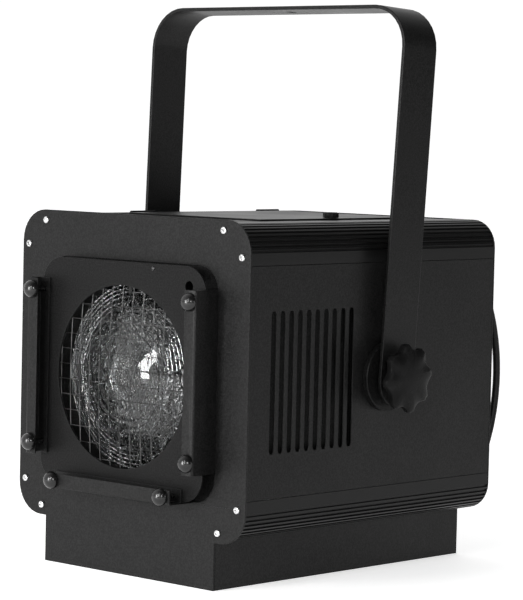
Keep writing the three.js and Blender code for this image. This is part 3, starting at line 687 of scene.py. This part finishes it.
def add_clamp_knobs():
    for side, sx in SIDES:
        node = "clamp_knob_" + side
        rings = [knob_ring(x * MM, scale, roundness) for x, scale, roundness in KNOB_STATIONS]
        middle = centre_of("pivot_bolt_" + side)
        half_turn = Matrix.Rotation(0 if sx > 0 else math.pi, 4, "Z")
        place = Matrix.Translation((0, middle.y, middle.z)) @ half_turn
        add_piece(node + "_fine", loft(rings, place), node, sharp_angle=50)


def add_friction_discs():
    """A wide disc against the housing with a spacing collar under the yoke."""
    profile = in_mm([
        (5.6, 0), (35.9, 0), (36.5, 0.6), (36.5, 5.4), (35.7, 6.2), (19.0, 6.2),
        (18.4, 6.6), (18, 7.2), (18, 11.0), (17.5, 11.5), (5.6, 11.5), (5.6, 0),
    ])
    for side, sx in SIDES:
        node = "friction_disc_" + side
        low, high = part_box(node)
        middle = (low + high) / 2
        foot = (low.x if sx > 0 else high.x, middle.y, middle.z)
        work = lathe(profile, 96, Vector((sx, 0, 0)), foot)
        bmesh.ops.remove_doubles(work, verts=work.verts, dist=0.005 * MM)
        # Painted shade: the friction discs take the darker coat copy.
        add_piece(node + "_fine", work, node, finish=SHADED_COAT)


def add_hatch_screw():
    """A notched thumb wheel on a bright shank; every second pair of steps round it is a notch."""
    node = "hatch_screw"
    low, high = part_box(node)
    middle = centre_of(node)
    stations = ((0, 8.0, 0), (0.5, 8.5, 0.35), (4.6, 8.5, 0.35), (5.4, 7.9, 0), (5.8, 6.6, 0))
    steps = 96
    foot = high.z - stations[-1][0] * MM
    rings = []
    for height, radius, notch in stations:
        ring = []
        for i in range(steps):
            angle = 2 * math.pi * i / steps
            reach = (radius - notch if i % 4 < 2 else radius) * MM
            x = middle.x + reach * math.cos(angle)
            y = middle.y + reach * math.sin(angle)
            ring.append((x, y, foot + height * MM))
        rings.append(ring)
    add_piece("hatch_screw_grip", loft(rings), node, sharp_angle=25)
    shank_radius, shank_length = 1.9 * MM, foot - low.z
    profile = [(0, 0), (shank_radius, 0), (shank_radius, shank_length), (0, shank_length)]
    shank = lathe(profile, 24, UP, (middle.x, middle.y, low.z))
    add_piece("hatch_screw_shank", shank, node, replaces=False, finish=FINISHES["bright_zinc"])


# ---------------------------------------------------------------- rear and inside

def add_rear_handles():
    """Round rods bent to an arc, each standing on two turned feet."""
    bow, rod, foot_radius = 190 * MM, 4 * MM, 9 * MM
    sunk, clearance = 0.5 * MM, 0.4 * MM
    steps = 40
    foot_profile = in_mm([(0, 0), (9, 0), (9, 2.2), (8.2, 3.0), (5.2, 3.0), (4.4, 4.4), (0, 4.4)])
    for side, _ in SIDES:
        node = "rear_handle_" + side
        low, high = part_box(node)
        middle = (low + high) / 2
        half = (high.z - low.z) / 2 - foot_radius
        centre_y = high.y - clearance - rod - bow
        limit = math.asin(half / bow)
        path = [(middle.x, low.y + sunk, middle.z - half)]
        for i in range(steps + 1):
            angle = -limit + 2 * limit * i / steps
            y = centre_y + bow * math.cos(angle)
            path.append((middle.x, y, middle.z + bow * math.sin(angle)))
        path.append((middle.x, low.y + sunk, middle.z + half))
        add_piece(node + "_rod", tubes([path], rod, sides=20), node, sharp_angle=50)
        for end, sz in (("lower", -1), ("upper", 1)):
            origin = (middle.x, low.y, middle.z + sz * half)
            foot = lathe(foot_profile, 32, BACKWARD, origin)
            add_piece(f"{node}_{end}_foot", foot, node, replaces=False)


def add_focus_knob():
    """A round grip with shallow flutes along it."""
    node = "focus_knob"
    low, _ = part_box(node)
    middle_z = centre_of(node).z
    radius, flutes, flute_depth, steps = 21 * MM, 18, 0.045, 144
    stations = ((0, 0.92), (1.2, 0.97), (2.0, 1.0), (17.0, 1.0), (18.2, 0.95), (19.0, 0.84))
    rings = []
    for depth, scale in stations:
        ring = []
        for i in range(steps):
            angle = 2 * math.pi * i / steps
            flute = flute_depth * (0.5 + 0.5 * math.cos(flutes * angle))
            reach = radius * scale * (1 - flute)
            ring.append((reach * math.cos(angle), low.y + depth * MM, middle_z + reach * math.sin(angle)))
        rings.append(ring)
    add_piece("focus_knob_grip", loft(rings), node, sharp_angle=45)


def add_lamp():
    """A glass tube with a pinched foot and a round top, over two rows of coiled filament."""
    node = "lamp"
    low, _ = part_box(node)
    middle = centre_of(node)
    bulb_radius, crown_height, steps = 16, 98, 10
    profile = [
        (0, 0), (12.6, 0), (13, 0.5), (13, 11.5), (12.4, 12), (9, 15), (9, 20), (12, 23), (15, 26),
        (bulb_radius, 29),
    ]
    for i in range(steps):
        angle = math.pi / 2 * i / steps
        height = crown_height + bulb_radius * math.sin(angle)
        profile.append((bulb_radius * math.cos(angle), height))
    profile.append((0, crown_height + bulb_radius))
    work = lathe(in_mm(profile), 48, UP, (middle.x, middle.y, low.z))
    add_piece("lamp_envelope", work, node, sharp_angle=50)
    for row, offset in (("front", -4), ("rear", 4)):
        coil = coil_path(Vector((middle.x, middle.y + offset * MM, OPTIC_Z)))
        add_piece(
            "filament_" + row, tubes([coil], 0.3 * MM), node,
            replaces=False, finish=FINISHES["plated_steel"],
        )


def coil_path(middle):
    """A coil along X about the given point."""
    turns, steps, length, radius = 9, 12, 24 * MM, 1.6 * MM
    path = []
    for i in range(turns * steps + 1):
        angle = 2 * math.pi * i / steps
        x = middle.x + length * (i / (turns * steps) - 0.5)
        path.append((x, middle.y + radius * math.cos(angle), middle.z + radius * math.sin(angle)))
    return path


def add_reflector():
    """A spherical bowl behind the lamp, centred on the filament."""
    inner, outer, edge, steps = 61 * MM, 62.5 * MM, -35, 24
    profile = [
        (0, -outer), *arc(0, 0, outer, -90, edge, steps)[1:],
        *arc(0, 0, inner, edge, -90, steps)[:-1], (0, -inner),
    ]
    middle = Vector((0, centre_of("lamp").y, OPTIC_Z))
    add_piece("reflector_bowl", lathe(profile, 64, FORWARD, middle), "reflector")


def finish_inside():
    for node in (
        "pivot_bracket_right", "pivot_bracket_left", "pivot_bolt_right", "pivot_bolt_left",
        "rod_bracket_front", "rod_bracket_rear", "guide_rod_right", "guide_rod_left",
        "focus_screw", "focus_sled", "lamp_holder", "cable_gland",
    ):
        refine(node, bevel=0.3 * MM)


# ---------------------------------------------------------------- stage

def floor_finish():
    finish = Finish("pale_floor", specular=0.2)
    drift = finish.noise(3, detail=5)
    finish.colour(drift, (0.3, grey(0.86)), (0.7, grey(0.90)))
    finish.roughness(drift, 0.6, 0.8)
    finish.relief(finish.noise(700), 0.1 * MM, 0.3)
    finish.shader.inputs["Emission Color"].default_value = (1, 1, 1, 1)
    finish.shader.inputs["Emission Strength"].default_value = 0.60
    return finish.material


def add_floor():
    """A wide pale floor just under the part, so that the two never share a plane."""
    work = bmesh.new()
    bmesh.ops.create_grid(work, x_segments=8, y_segments=8, size=30)
    mesh = bpy.data.meshes.new("floor")
    work.to_mesh(mesh)
    work.free()
    mesh.materials.append(floor_finish())
    floor = bpy.data.objects.new("floor", mesh)
    floor.location.z = -0.2 * MM
    bpy.context.scene.collection.objects.link(floor)


def add_world():
    """White towards the part's left side, fading to nearly black towards its right."""
    world = bpy.data.worlds.new("studio")
    world.use_nodes = True
    nodes = world.node_tree.nodes
    links = world.node_tree.links
    direction = nodes.new("ShaderNodeSeparateXYZ")
    links.new(nodes.new("ShaderNodeTexCoord").outputs["Generated"], direction.inputs["Vector"])
    fade = nodes.new("ShaderNodeMapRange")
    fade.inputs["From Min"].default_value = -0.58
    fade.inputs["From Max"].default_value = 0.30
    fade.inputs["To Min"].default_value = 1.05
    fade.inputs["To Max"].default_value = 0.06
    links.new(direction.outputs["X"], fade.inputs["Value"])
    background = nodes["Background"]
    background.inputs["Color"].default_value = (1, 1, 1, 1)
    links.new(fade.outputs["Result"], background.inputs["Strength"])
    bpy.context.scene.world = world
    bpy.context.scene.view_settings.view_transform = "Standard"


def add_light(name, place, target, size, power):
    data = bpy.data.lights.new(name, "AREA")
    data.shape = "RECTANGLE"
    data.size, data.size_y = size
    data.energy = power
    light = bpy.data.objects.new(name, data)
    light.location = place
    light.rotation_euler = (Vector(target) - Vector(place)).to_track_quat("-Z", "Y").to_euler()
    bpy.context.scene.collection.objects.link(light)


CAMERA_LENS = 163.58
CAMERA_PLACE = (2.0103, -2.1408, 0.4693)
CAMERA_RIGHT = Vector((0.72813, 0.68508, 0.02250))
CAMERA_UP = Vector((-0.06062, 0.03165, 0.99767))


def add_camera():
    """Looks at the front and the right side from a little above the part's middle."""
    data = bpy.data.cameras.new("photo_camera")
    data.lens = CAMERA_LENS
    camera = bpy.data.objects.new("photo_camera", data)
    right, up = CAMERA_RIGHT.normalized(), CAMERA_UP.normalized()
    turn = Matrix((right, up, right.cross(up))).transposed().to_4x4()
    camera.matrix_world = Matrix.Translation(CAMERA_PLACE) @ turn
    bpy.context.scene.collection.objects.link(camera)
    bpy.context.scene.camera = camera


LENS_MIDDLE = (0, -0.20, 0.21)
BODY_MIDDLE = (0.15, 0, 0.22)
# Name, place, what it points at, width and height, watts.
LIGHTS = (
    ("front_softbox", (-0.42, -2.40, 0.48), LENS_MIDDLE, (0.55, 1.1), 44),
    ("high_strip", (0.62, -2.40, 1.05), LENS_MIDDLE, (0.12, 1.4), 22),
    ("camera_softbox", (3.10, -2.60, 1.25), LENS_MIDDLE, (0.7, 0.7), 50),
    ("side_key", (3.00, 0.86, 0.75), BODY_MIDDLE, (0.16, 0.40), 5),
)

add_camera()
add_world()
for light in LIGHTS:
    add_light(*light)
add_floor()
finish_sheet_metal()
add_plate_screws()
add_lens()
add_guard()
add_lens_plate()
add_runners()
add_runner_bolts()
add_clamp_knobs()
add_friction_discs()
add_hatch_screw()
add_rear_handles()
add_focus_knob()
add_lamp()
add_reflector()
finish_inside()
